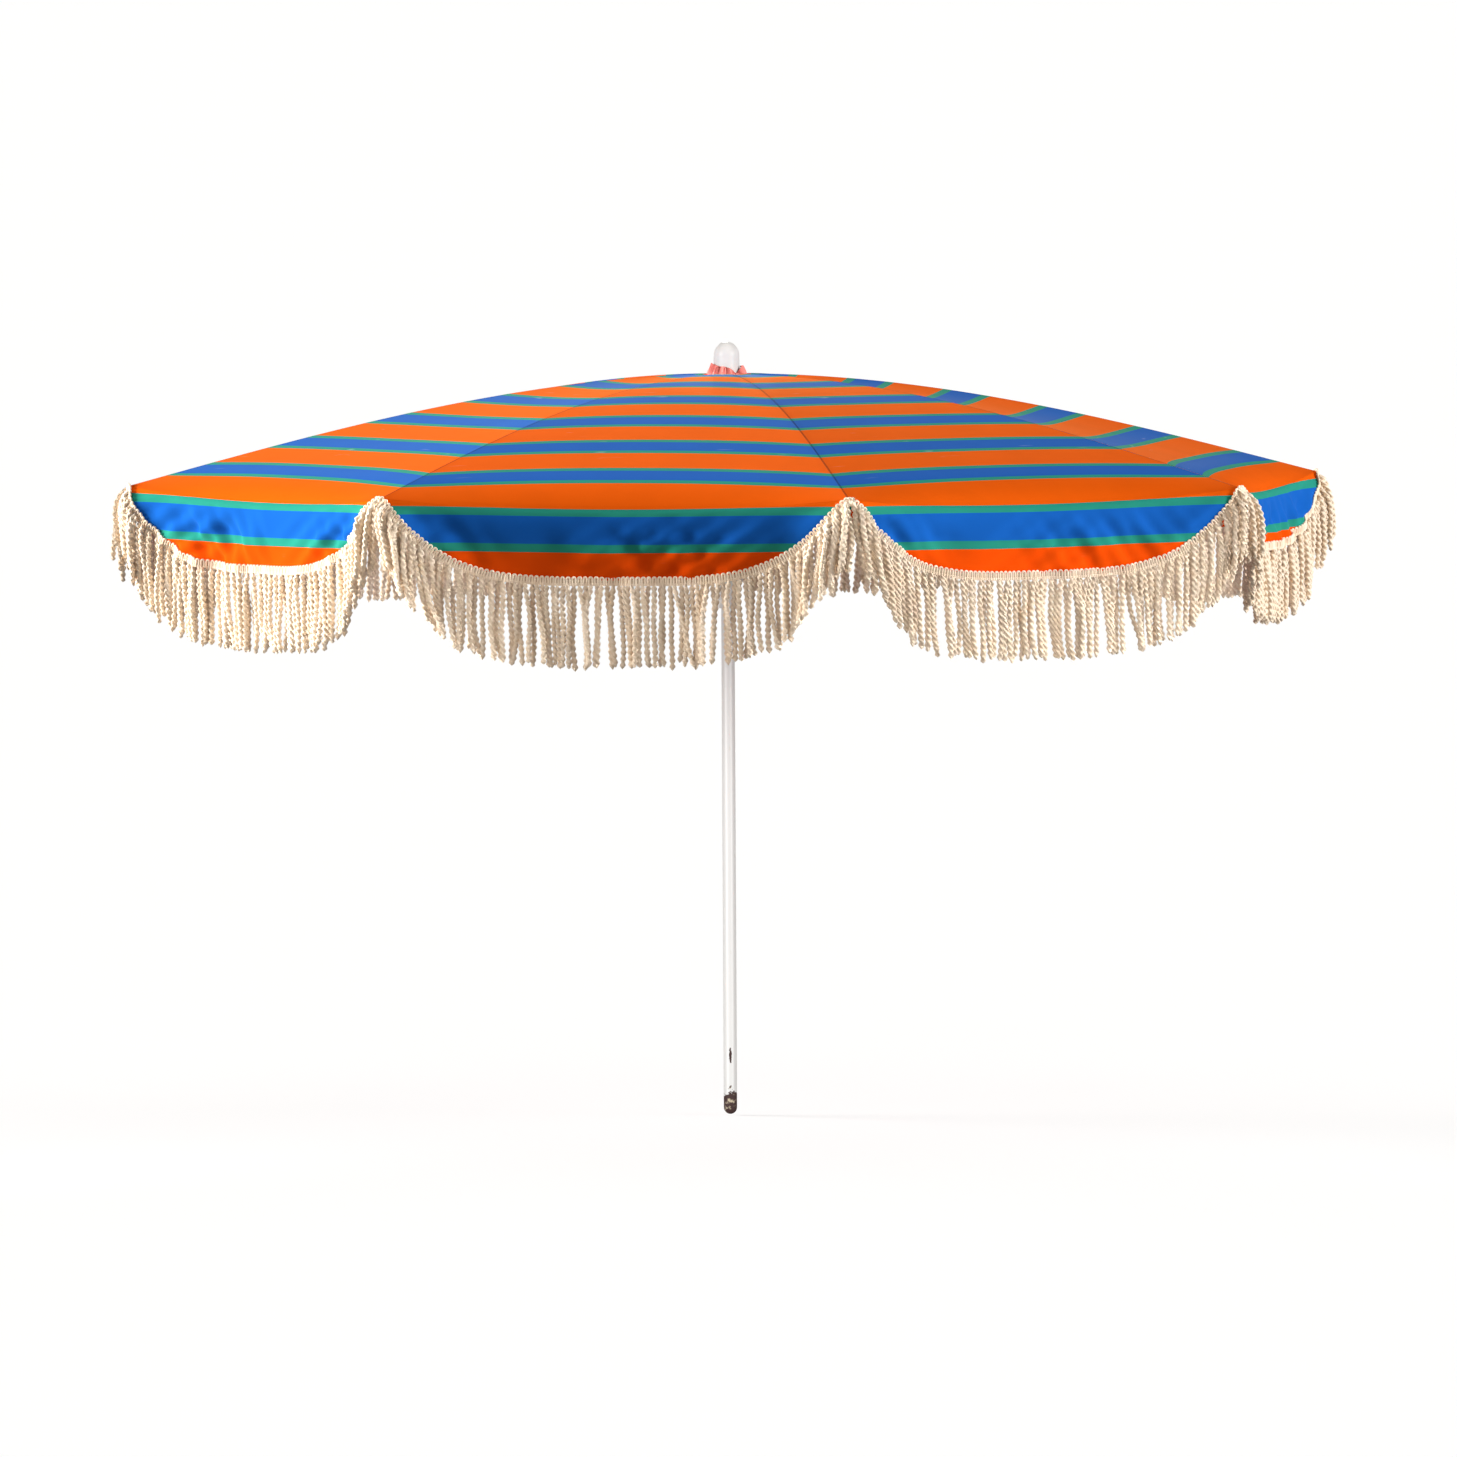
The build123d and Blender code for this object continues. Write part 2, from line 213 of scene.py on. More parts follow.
CLOTH_ORANGE = (0.86, 0.113, 0.004)
VALANCE_ORANGE_SHADED = (0.88, 0.080, 0.003)  # painted shade: a redder orange for the hanging cloth, as it looks in shade
CLOTH_BLUE = (0.010, 0.118, 0.50)
CLOTH_GREEN = (0.024, 0.29, 0.215)
CORD_CREAM = (0.93, 0.795, 0.65)
YELLOWED = (0.97, 0.92, 0.84)  # what the older patches of cord multiply the cream by
IN_SHADE = (0.68, 0.58, 0.50)  # painted shade: what the cream is multiplied by on the backing seen between the braid's loops
FADE_TINT = (0.62, 0.66, 0.70)
FADE_SHARE = 0.22
SCUFF_COLOUR = (0.85, 0.85, 0.85)
SCUFF_SHARE = 0.28
# painted shadow: a thin dark line along each seam edge, for the shadow in the gap between panels
SEAM_SHADOW_COLOUR = (0.02, 0.02, 0.03)
SEAM_SHADOW_SHARE = 0.45
THINNESS = 0.08  # share of the light that passes through the cloth
POLE_WHITE = (0.92, 0.925, 0.91)
POLE_SCUFF = (0.78, 0.74, 0.60)
BARE_METAL = (0.78, 0.67, 0.47)
RUST = (0.06, 0.026, 0.024)
# painted shade in the inner creases of the gathered cloth; GATHER_RED is the lit colour of the outer
# creases
GATHER_CREASE_SHADE = (0.19, 0.015, 0.015)
GATHER_RED = (0.62, 0.160, 0.135)
GATHER_FADED = (0.66, 0.22, 0.18)


# ---------------------------------------------------------------- meshes
def make_mesh(name, verts, faces, material, attributes=None, smooth=True):
    mesh = bpy.data.meshes.new(name)
    mesh.from_pydata(np.asarray(verts, float).tolist(), [], np.asarray(faces).tolist())
    if smooth:
        mesh.shade_smooth()
    for key, values in (attributes or {}).items():
        layer = mesh.attributes.new(key, "FLOAT", "POINT")
        layer.data.foreach_set("value", np.asarray(values, np.float32))
    mesh.materials.append(material)
    obj = bpy.data.objects.new(name, mesh)
    bpy.context.scene.collection.objects.link(obj)
    return obj


def grid_faces(rows, cols, closed=False):
    """Quads over a row-major grid of points; closed joins the last column to the first."""
    r = np.arange(rows - 1)[:, None]
    c = np.arange(cols if closed else cols - 1)[None, :]
    n = (c + 1) % cols
    quads = [r * cols + c, r * cols + n, (r + 1) * cols + n, (r + 1) * cols + c]
    return np.stack([q + 0 * r + 0 * c for q in quads], -1).reshape(-1, 4)


def turned(points, angle):
    """The points turned about the pole's axis."""
    points = np.asarray(points, float)
    x = points[..., 0] * cos(angle) - points[..., 1] * sin(angle)
    y = points[..., 0] * sin(angle) + points[..., 1] * cos(angle)
    return np.stack([x, y, points[..., 2]], -1)


# ---------------------------------------------------------------- cloth shape
def roof_z(r):
    """Top of the cloth along a rib."""
    return RIM_Z + CANOPY_RISE * np.cos(radians(90) * (r / CANOPY_R) ** ROOF_BEND)


def roof_point(m, v, k):
    """A point of panel k: m is the distance along its middle line, v runs -1 to 1 across it."""
    sag = PANEL_SHAPES[k][0]
    y = v * m * tan(HALF_STEP)
    middle = 1 - v**2
    near_rim = np.clip((m - DROOP_START) / (RIM_X - DROOP_START), 0, 1)
    sagged = sag * np.sin(pi * np.clip(m / RIM_X, 0, 1)) ** 0.7
    dip = LEAST_DIP + sagged + DROOP_DEPTH * near_rim**DROOP_POWER
    x = m - DRAW_IN * middle * near_rim**3
    z = roof_z(m / cos(HALF_STEP)) - middle * dip
    return np.stack(np.broadcast_arrays(x, y, z), -1)


def stripe_shift(m, v):
    """How far the stripes run on outwards towards the seams, as they bow across a panel."""
    return np.interp(m, *SEAM_SHIFT) * np.abs(v) ** SHIFT_POWER


def braid_depth(v, k):
    """Depth of the braid's upper edge below the rim: rounded at the ribs, deepest between them."""
    _, share, before, after, _ = PANEL_SHAPES[k]
    depth = share * HEM_DEPTH * (1 - np.abs(v) ** np.where(v < 0, before, after))
    return np.sqrt(depth**2 + HEM_ROUND**2) - HEM_ROUND - HEM_RISE


def beside_rib(distance):
    """1 at a rib tip, fading to 0 away from it along the rim."""
    return np.exp(-((distance / FLARE_WIDTH) ** 2))


def wrinkles(y, drop, rng):
    """Soft folds of the hanging cloth, growing from the rim down; drop is 0 at the rim."""
    total = 0 * y
    for wavelength, slant, size in FOLDS:
        wavelength = wavelength * rng.uniform(0.85, 1.2)
        phase = rng.uniform(0, 2 * pi)
        reach = 0.5 + 0.5 * np.sin(2 * pi * y / rng.uniform(0.3, 0.6) + rng.uniform(0, 2 * pi))
        total = total + size * reach * np.sin(2 * pi * (y + slant * drop) / wavelength + phase)
    for side in (-1, 1):
        from_rib = RIM_HALF - side * y
        reach = np.hypot(from_rib, drop)
        turn = np.arctan2(drop, from_rib)
        pull = np.sin(rng.uniform(5, 8) * turn + rng.uniform(0, 2 * pi))
        total = total + DRAG_SIZE * pull * np.exp(-reach / DRAG_REACH) * np.clip(reach / 0.05, 0, 1)
    return FOLD_SIZE * total * np.clip(drop / 0.05, 0, 1) ** 1.2


def valance_columns(k, v, rows, rng, extra):
    """The hanging cloth under the rim at each v, as rows of points; extra lengthens it downward."""
    start = roof_point(np.full_like(v, RIM_X), v, k)
    first_angle = MIDDLE_SLOPE + RIB_SLOPE * np.abs(v) ** 4
    fine = np.linspace(0, LONGEST_FALL, 321)[:, None]
    angle = pi / 2 - (pi / 2 - first_angle) * np.exp(-fine / TURN_DOWN)
    step = fine[1, 0]
    out = np.cumsum(np.cos(angle), 0) * step
    fall = np.cumsum(np.sin(angle), 0) * step
    target = start[:, 2] - (RIM_Z - braid_depth(v, k) - extra)
    share = np.linspace(0, 1, rows)
    points = np.zeros((rows, len(v), 3))
    drop = np.zeros((rows, len(v)))
    for i in range(len(v)):
        length = np.interp(max(target[i], 0.003), fall[:, i], fine[:, 0])
        along = share * length
        drop[:, i] = along
        points[:, i, 0] = start[i, 0] + np.interp(along, fine[:, 0], out[:, i])
        points[:, i, 1] = start[i, 1]
        points[:, i, 2] = start[i, 2] - np.interp(along, fine[:, 0], fall[:, i])
    edge = np.clip((1 - np.abs(v)) / 0.12, 0, 1)
    points[:, :, 0] += wrinkles(points[:, :, 1], drop, rng) * edge
    flare = HEM_FLARE * beside_rib((1 - np.abs(v)) * RIM_HALF)
    points[:, :, 0] += flare * np.clip(drop / 0.02, 0, 1)
    lap = np.array([LAP, LAP / 2])[:, None]
    under = roof_point(RIM_X - lap, v[None, :], k)
    under[..., 2] -= LAP_DROP
    under_drop = np.broadcast_to(-lap, under.shape[:2])
    return np.concatenate([under, points]), np.concatenate([under_drop, drop])


# ---------------------------------------------------------------- materials
def new_material(name, base=(0.8, 0.8, 0.8), roughness=0.5, metallic=0.0, specular=0.5):
    material = bpy.data.materials.new(name)
    material.use_nodes = True
    shader = material.node_tree.nodes["Principled BSDF"]
    shader.inputs["Base Color"].default_value = (*base, 1)
    shader.inputs["Roughness"].default_value = roughness
    shader.inputs["Metallic"].default_value = metallic
    shader.inputs["Specular IOR Level"].default_value = specular
    return material, material.node_tree, shader


def math_node(tree, operation, a, b=None, c=None):
    made = tree.nodes.new("ShaderNodeMath")
    made.operation = operation
    for slot_index, value in enumerate((a, b, c)):
        if value is None:
            continue
        if isinstance(value, (int, float)):
            made.inputs[slot_index].default_value = value
        else:
            tree.links.new(value, made.inputs[slot_index])
    return made.outputs[0]


def times(tree, a, b):
    return math_node(tree, "MULTIPLY", a, b)


def scaled(colour, factors):
    return tuple(c * f for c, f in zip(colour, factors))


def mix_colour(tree, factor, a, b, blend="MIX"):
    made = tree.nodes.new("ShaderNodeMix")
    made.data_type = "RGBA"
    made.blend_type = blend
    for socket, value in ((made.inputs[0], factor), (made.inputs[6], a), (made.inputs[7], b)):
        if isinstance(value, (int, float)):
            socket.default_value = value
        elif isinstance(value, tuple):
            socket.default_value = (*value, 1)
        else:
            tree.links.new(value, socket)
    return made.outputs[2]


def noise(tree, scale, detail=3.0, roughness=0.5, stretch=None, vector=None, kind="FBM"):
    """A noise texture on object coordinates; stretch scales each axis first."""
    if vector is None:
        vector = tree.nodes.new("ShaderNodeTexCoord").outputs["Object"]
    if stretch:
        mapping = tree.nodes.new("ShaderNodeMapping")
        mapping.inputs["Scale"].default_value = stretch
        tree.links.new(vector, mapping.inputs["Vector"])
        vector = mapping.outputs[0]
    made = tree.nodes.new("ShaderNodeTexNoise")
    made.noise_type = kind
    made.inputs["Scale"].default_value = scale
    made.inputs["Detail"].default_value = detail
    made.inputs["Roughness"].default_value = roughness
    tree.links.new(vector, made.inputs["Vector"])
    return made.outputs[0]


def ramp(tree, value, low, high):
    """0 below low, 1 above high."""
    made = tree.nodes.new("ShaderNodeMapRange")
    made.inputs["From Min"].default_value = low
    made.inputs["From Max"].default_value = high
    tree.links.new(value, made.inputs["Value"])
    return made.outputs[0]


def add_bump(tree, shader, height, strength, distance):
    made = tree.nodes.new("ShaderNodeBump")
    made.inputs["Strength"].default_value = strength
    made.inputs["Distance"].default_value = distance
    tree.links.new(height, made.inputs["Height"])
    tree.links.new(made.outputs[0], shader.inputs["Normal"])


def attribute(tree, name):
    made = tree.nodes.new("ShaderNodeAttribute")
    made.attribute_name = name
    return made.outputs["Fac"]


def cloth_material():
    material, tree, shader = new_material("canopy_cloth", roughness=0.85, specular=0.0)
    along = attribute(tree, "along")
    across = attribute(tree, "across")
    edge = attribute(tree, "edge")
    turns = math_node(tree, "DIVIDE", math_node(tree, "SUBTRACT", along, STRIPE_START), STRIPE_PERIOD)
    within = times(tree, math_node(tree, "FRACT", turns), STRIPE_PERIOD)
    in_band = math_node(tree, "LESS_THAN", within, BAND_WIDTH)
    from_middle = math_node(tree, "ABSOLUTE", math_node(tree, "SUBTRACT", within, BAND_WIDTH / 2))
    in_blue = math_node(tree, "LESS_THAN", from_middle, BAND_WIDTH / 2 - GREEN_WIDTH)
    # painted shade: the hanging cloth below the rim takes the redder orange
    hanging = ramp(tree, along, RIM_X - 0.01, RIM_X + 0.02)
    orange = mix_colour(tree, hanging, CLOTH_ORANGE, VALANCE_ORANGE_SHADED)
    colour = mix_colour(tree, in_band, orange, CLOTH_GREEN)
    colour = mix_colour(tree, in_blue, colour, CLOTH_BLUE)
    combined = tree.nodes.new("ShaderNodeCombineXYZ")
    tree.links.new(along, combined.inputs[0])
    tree.links.new(across, combined.inputs[1])
    weave_space = combined.outputs[0]
    cloudy = noise(tree, 9.0, 4.0, 0.6, vector=weave_space)
    faded = times(tree, ramp(tree, cloudy, 0.35, 0.8), FADE_SHARE)
    colour = mix_colour(tree, faded, colour, FADE_TINT, "MULTIPLY")
    scratch = noise(tree, 60.0, 2.0, 0.7, stretch=(1.0, 0.16, 1.0), vector=weave_space)
    patch = noise(tree, 5.0, 2.0, vector=weave_space)
    scuffs = times(tree, ramp(tree, scratch, 0.66, 0.74), ramp(tree, patch, 0.56, 0.66))
    colour = mix_colour(tree, times(tree, scuffs, SCUFF_SHARE), colour, SCUFF_COLOUR)
    # painted shadow: the cloth darkens within a thin strip along each seam edge, standing in for the
    # shadow in the gap between panels
    seam = math_node(tree, "LESS_THAN", edge, SEAM_SHADOW_WIDTH)
    colour = mix_colour(tree, times(tree, seam, SEAM_SHADOW_SHARE), colour, SEAM_SHADOW_COLOUR)
    tree.links.new(colour, shader.inputs["Base Color"])
    shader.inputs["Sheen Weight"].default_value = 0.05
    shader.inputs["Sheen Tint"].default_value = (1.0, 0.92, 0.45, 1)
    shader.inputs["Sheen Roughness"].default_value = 0.3
    crease = noise(tree, 7.0, 3.0, 0.5, vector=weave_space, kind="RIDGED_MULTIFRACTAL")
    on_valance = math_node(tree, "ADD", times(tree, ramp(tree, along, 0.90, 0.96), 0.75), 0.25)
    add_bump(tree, shader, times(tree, crease, on_valance), 0.5, 0.0035)
    thin = tree.nodes.new("ShaderNodeBsdfTranslucent")
    tree.links.new(colour, thin.inputs["Color"])
    both = tree.nodes.new("ShaderNodeMixShader")
    both.inputs[0].default_value = THINNESS
    tree.links.new(shader.outputs[0], both.inputs[1])
    tree.links.new(thin.outputs[0], both.inputs[2])
    tree.links.new(both.outputs[0], tree.nodes["Material Output"].inputs["Surface"])
    return material


def cord_material(name, base):
    material, tree, shader = new_material(name, base, roughness=0.85, specular=0.2)
    tint = noise(tree, 35.0, 3.0)
    colour = mix_colour(tree, ramp(tree, tint, 0.3, 0.75), base, scaled(base, YELLOWED))
    # painted shade on the braid's backing, darker between the loops
    colour = mix_colour(tree, attribute(tree, "shaded_backing"), colour, scaled(base, IN_SHADE))
    tree.links.new(colour, shader.inputs["Base Color"])
    fibre = noise(tree, 900.0, 2.0, 0.6)
    add_bump(tree, shader, fibre, 0.5, 0.0006)
    return material


def painted_pole_material():
    material, tree, shader = new_material("pole_paint", POLE_WHITE)
    position = tree.nodes.new("ShaderNodeTexCoord").outputs["Object"]
    split = tree.nodes.new("ShaderNodeSeparateXYZ")
    tree.links.new(position, split.inputs[0])
    height = split.outputs["Z"]
    ragged = math_node(tree, "SUBTRACT", noise(tree, 55.0, 5.0, 0.65), 0.5)
    reach = math_node(tree, "ADD", height, times(tree, ragged, WORN_RAGGED))
    worn = math_node(tree, "SUBTRACT", 1.0, ramp(tree, reach, WORN_HEIGHT, WORN_HEIGHT + WORN_EDGE))
    from_chip = tree.nodes.new("ShaderNodeVectorMath")
    from_chip.operation = "DISTANCE"
    flattened = tree.nodes.new("ShaderNodeMapping")
    flattened.inputs["Scale"].default_value = (1.0, 1.0, CHIP_SQUASH)
    tree.links.new(position, flattened.inputs["Vector"])
    tree.links.new(flattened.outputs[0], from_chip.inputs[0])
    from_chip.inputs[1].default_value = (
        POLE_R * sin(CHIP_AZIMUTH),
        -POLE_R * cos(CHIP_AZIMUTH),
        CHIP_Z * CHIP_SQUASH,
    )
    wavy = times(tree, noise(tree, 240.0, 3.0), CHIP_WAVE)
    chip_edge = math_node(tree, "ADD", from_chip.outputs["Value"], wavy)
    chip = math_node(tree, "LESS_THAN", chip_edge, CHIP_SIZE)
    worn = math_node(tree, "MAXIMUM", worn, chip)
    rust = math_node(tree, "MAXIMUM", ramp(tree, noise(tree, 60.0, 5.0, 0.7), 0.35, 0.45), chip)
    metal = mix_colour(tree, rust, BARE_METAL, RUST)
    scuff_band = noise(tree, 40.0, 4.0, 0.7, stretch=(1.0, 1.0, 0.5))
    scuff = times(tree, ramp(tree, scuff_band, 0.64, 0.72), 0.35)
    paint = mix_colour(tree, scuff, POLE_WHITE, POLE_SCUFF)
    tree.links.new(mix_colour(tree, worn, paint, metal), shader.inputs["Base Color"])
    rough = math_node(tree, "ADD", times(tree, worn, 0.3), PAINT_ROUGHNESS)
    tree.links.new(rough, shader.inputs["Roughness"])
    add_bump(tree, shader, math_node(tree, "SUBTRACT", 1.0, worn), 0.4, 0.0004)
    return material


def plain_finish(name, base, roughness, metallic=0.0, grain=60.0, depth=0.12):
    """A painted, moulded or plated finish with a little unevenness."""
    material, tree, shader = new_material(name, base, roughness, metallic)
    uneven = ramp(tree, noise(tree, grain, 4.0, 0.6), 0.3, 0.8)
    darker = tuple(c * (1 - depth) for c in base)
    tree.links.new(mix_colour(tree, uneven, base, darker), shader.inputs["Base Color"])
    rough = math_node(tree, "ADD", times(tree, uneven, 0.15), roughness)
    tree.links.new(rough, shader.inputs["Roughness"])
    return material


def gather_material():
    material, tree, shader = new_material("gather_cloth", roughness=0.75, specular=0.2)
    # painted shade: inner creases of the gathered cloth darker, outer ones lighter
    fold_shade = attribute(tree, "fold_shade")
    colour = mix_colour(tree, ramp(tree, fold_shade, 0.1, 0.75), GATHER_CREASE_SHADE, GATHER_RED)
    colour = mix_colour(tree, times(tree, noise(tree, 70.0, 3.0), 0.3), colour, GATHER_FADED)
    tree.links.new(colour, shader.inputs["Base Color"])
    add_bump(tree, shader, noise(tree, 400.0, 3.0), 0.3, 0.0005)
    return material


MAT_CLOTH = cloth_material()
MAT_CORD = cord_material("fringe_cotton", CORD_CREAM)
MAT_BRAID = cord_material("braid_cotton", tuple(min(1, c * 1.04) for c in CORD_CREAM))
MAT_POLE = painted_pole_material()
MAT_CAP = plain_finish("cap_plastic", (0.80, 0.79, 0.765), 0.4, depth=0.05)
MAT_RUNNER = plain_finish("runner_plastic", (0.80, 0.79, 0.75), 0.38, depth=0.08)
MAT_RIB = plain_finish("rib_paint", (0.74, 0.74, 0.72), 0.3, depth=0.1)
MAT_STEEL = plain_finish("plated_steel", (0.60, 0.60, 0.58), 0.32, metallic=1.0, depth=0.3)
MAT_GATHER = gather_material()


# ---------------------------------------------------------------- panels
def attach(obj, body, replaced=None):
    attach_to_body(obj, body)
    if replaced:
        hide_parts(replaced)


def fold_flat(obj):
    """Gives the piece its own copy of its mesh."""
    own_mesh(obj)


def roof_piece(k, angle):
    m = np.linspace(HUB_X, RIM_X, ROOF_ROWS)[:, None]
    v = np.linspace(-1, 1, ROOF_COLS)[None, :]
    points = roof_point(m, v, k)
    m_all = np.broadcast_to(m, points.shape[:2])
    edge = (1 - np.abs(v)) * m * tan(HALF_STEP)
    shift = np.sign(v) * np.clip(SEAM_GAP - edge, 0, 1)
    points[..., 1] -= shift
    along = m_all - stripe_shift(m_all, v)
    data = {"along": along.ravel(), "across": points[..., 1].ravel(), "edge": edge.ravel()}
    faces = grid_faces(ROOF_ROWS, ROOF_COLS)
    obj = make_mesh(f"cloth_roof_{k}", turned(points.reshape(-1, 3), angle), faces, MAT_CLOTH, data)
    attach(obj, f"panel_{k}", f"gore_{k}")
    fold_flat(obj)


def valance_piece(k, angle, rng):
    v = np.linspace(-1, 1, 2 * ROOF_COLS - 1)
    points, drop = valance_columns(k, v, VALANCE_ROWS, rng, HEM_TUCK)
    along = RIM_X - stripe_shift(RIM_X, v) + drop
    data = {
        "along": along.ravel(),
        "across": points[..., 1].ravel(),
        "edge": np.full(along.size, 1.0),
    }
    faces = grid_faces(*points.shape[:2])
    obj = make_mesh(f"cloth_valance_{k}", turned(points.reshape(-1, 3), angle), faces, MAT_CLOTH, data)
    attach(obj, f"skirt_{k}", f"valance_{k}")
    fold_flat(obj)
    return v, points


def tube_along(path, normal_hint, radius, sides):
    """A round tube through the points of a path."""
    tangent = np.gradient(path, axis=0)
    tangent /= np.linalg.norm(tangent, axis=1)[:, None]
    side = np.cross(tangent, normal_hint)
    side /= np.linalg.norm(side, axis=1)[:, None]
    up = np.cross(side, tangent)
    a = np.linspace(0, 2 * pi, sides, endpoint=False)
    ring = np.cos(a)[None, :, None] * side[:, None, :] + np.sin(a)[None, :, None] * up[:, None, :]
    radius = np.broadcast_to(radius, len(path))[:, None, None]
    return (path[:, None, :] + radius * ring).reshape(-1, 3), grid_faces(len(path), sides, closed=True)


def joined(parts):
    """One mesh from several (points, faces) pairs."""
    verts, faces, count = [], [], 0
    for v, f in parts:
        verts.append(v)
        faces.append(f + count)
        count += len(v)
    return np.concatenate(verts), np.concatenate(faces)


def hem_path(k, v, points):
    """Points along the braid's upper edge, just outside the cloth, with their distance along it."""
    fine_v = np.linspace(-0.999, 0.999, 1200)
    depth = braid_depth(fine_v, k)
    y = np.interp(fine_v, v, points[-1, :, 1])
    x = np.interp(fine_v, v, points[-1, :, 0]) + 0.0016
    path = np.stack([x, y, RIM_Z - depth], -1)
    travelled = np.concatenate([[0], np.cumsum(np.linalg.norm(np.diff(path, axis=0), axis=1))])
    return path, travelled


def at_distance(path, travelled, d):
    """The point or points of a path at distance d along it."""
    return np.stack([np.interp(d, travelled, path[:, i]) for i in range(3)], -1)


def thread_loop(top, along, down, parts):
    """One upright U of thread, closed end up."""
    arch = np.linspace(0, pi, 7)
    loop = [top + along * LOOP_HALF * cos(a) - down * LOOP_HALF * sin(a) for a in arch]
    foot = LOOP_HEIGHT - LOOP_HALF
    legs = [loop[0] + down * foot] + loop + [loop[-1] + down * foot]
    parts.append(tube_along(np.array(legs), (1, 0, 0), LOOP_THREAD_R, 6))


def tip_braid(k, angle):
    """The braid where it turns round a rib tip: loops fanned out over the end of the rib."""
    parts = []
    for i in range(-1, 2):
        lean = i * radians(24)
        out = CANOPY_R + 0.0035 - 0.0012 * abs(i)
        top = np.array([out, 0.0085 * sin(lean), RIM_Z - 0.0065 + 0.0065 * cos(lean)])
        down = np.array([0.12, sin(lean) * 0.75, -1.0])
        down /= np.linalg.norm(down)
        along = np.array([0, cos(lean * 0.75), sin(lean * 0.75)])
        thread_loop(top, along, down, parts)
    verts, faces = joined(parts)
    obj = make_mesh(f"tip_braid_{k}", turned(verts, angle), faces, MAT_BRAID)
    attach(obj, f"rib_{k}")


def square_to(along):
    """Unit vectors square to the braid's run, in its plane, pointing down."""
    down = np.cross(along, (1, 0, 0))
    down *= -np.sign(down[..., 2:3])
    return down / np.linalg.norm(down, axis=-1, keepdims=True)


def braid_piece(k, angle, path, travelled):
    """The woven heading: a row of upright thread loops crossed by straight threads."""
    count = int(travelled[-1] / LOOP_PITCH)
    parts = []
    for i in range(count):
        d = (i + 0.5) * travelled[-1] / count
        here = at_distance(path, travelled, d)
        ahead = at_distance(path, travelled, min(d + 0.001, travelled[-1]))
        behind = at_distance(path, travelled, max(d - 0.001, 0))
        along = (ahead - behind) / np.linalg.norm(ahead - behind)
        down = square_to(along)
        thread_loop(here + down * LOOP_HALF, along, down, parts)
    for depth in CROSS_THREAD_DEPTHS:
        line = at_distance(path, travelled, np.linspace(0, travelled[-1], 160))
        down = square_to(np.gradient(line, axis=0))
        parts.append(tube_along(line + down * depth, (1, 0, 0), CROSS_THREAD_R, 5))
    front_count = sum(len(v) for v, _ in parts)
    line = at_distance(path, travelled, np.linspace(0, travelled[-1], 240))
    down = square_to(np.gradient(line, axis=0))
    rows = [line + down * depth - (BACKING_OFFSET, 0, 0) for depth in BACKING_DEPTHS]
    parts.append((np.concatenate(rows), grid_faces(len(rows), len(line))))
    verts, faces = joined(parts)
    # marks the backing behind the loops for its painted shade
    shaded_backing = np.arange(len(verts)) >= front_count
    obj = make_mesh(f"braid_{k}", turned(verts, angle), faces, MAT_BRAID, {"shaded_backing": shaded_backing})
    attach(obj, f"skirt_{k}")
    fold_flat(obj)


def cord(start, length, sway, depth, stand, lobe_r, rng):
    """A two-strand twisted cord that hangs from start, as one tube with two lobes."""
    steps = int(length / CORD_TWIST * (8))
    s = np.linspace(0, 1, steps)
    wobble = rng.uniform(0, 2 * pi)
    y = start[1] + sway(s) + 0.0009 * np.sin(9 * s + wobble)
    x = start[0] + depth * np.sin(s * pi / 2) + 0.0012 * np.sin(7 * s + 2 * wobble)
    bulge = 1 - np.exp(-s * length / BULGE_LENGTH)
    x += stand[0] * bulge
    y += stand[1] * bulge
    z = start[2] - s * length
    sides = 8
    a = np.linspace(0, 2 * pi, sides, endpoint=False)
    apart = lobe_r * STRAND_SPREAD
    lobes = apart * np.abs(np.cos(a)) + np.sqrt(lobe_r**2 - (apart * np.sin(a)) ** 2)
    rounded_foot = np.clip((1 - s) * length / FOOT_ROUND, 0.02, 1) ** 0.5
    end = rounded_foot * np.clip(0.45 + s * length / NECK_LENGTH, 0, 1)
    twist = 2 * pi * s * length / CORD_TWIST + wobble
    r = lobes[None, :] * end[:, None]
    turn = a[None, :] + twist[:, None]
    ring_x = x[:, None] + r * np.cos(turn)
    ring_y = y[:, None] + r * np.sin(turn)
    ring = np.stack([ring_x, ring_y, z[:, None] + 0 * r], -1)
    return ring.reshape(-1, 3), grid_faces(steps, sides, closed=True)


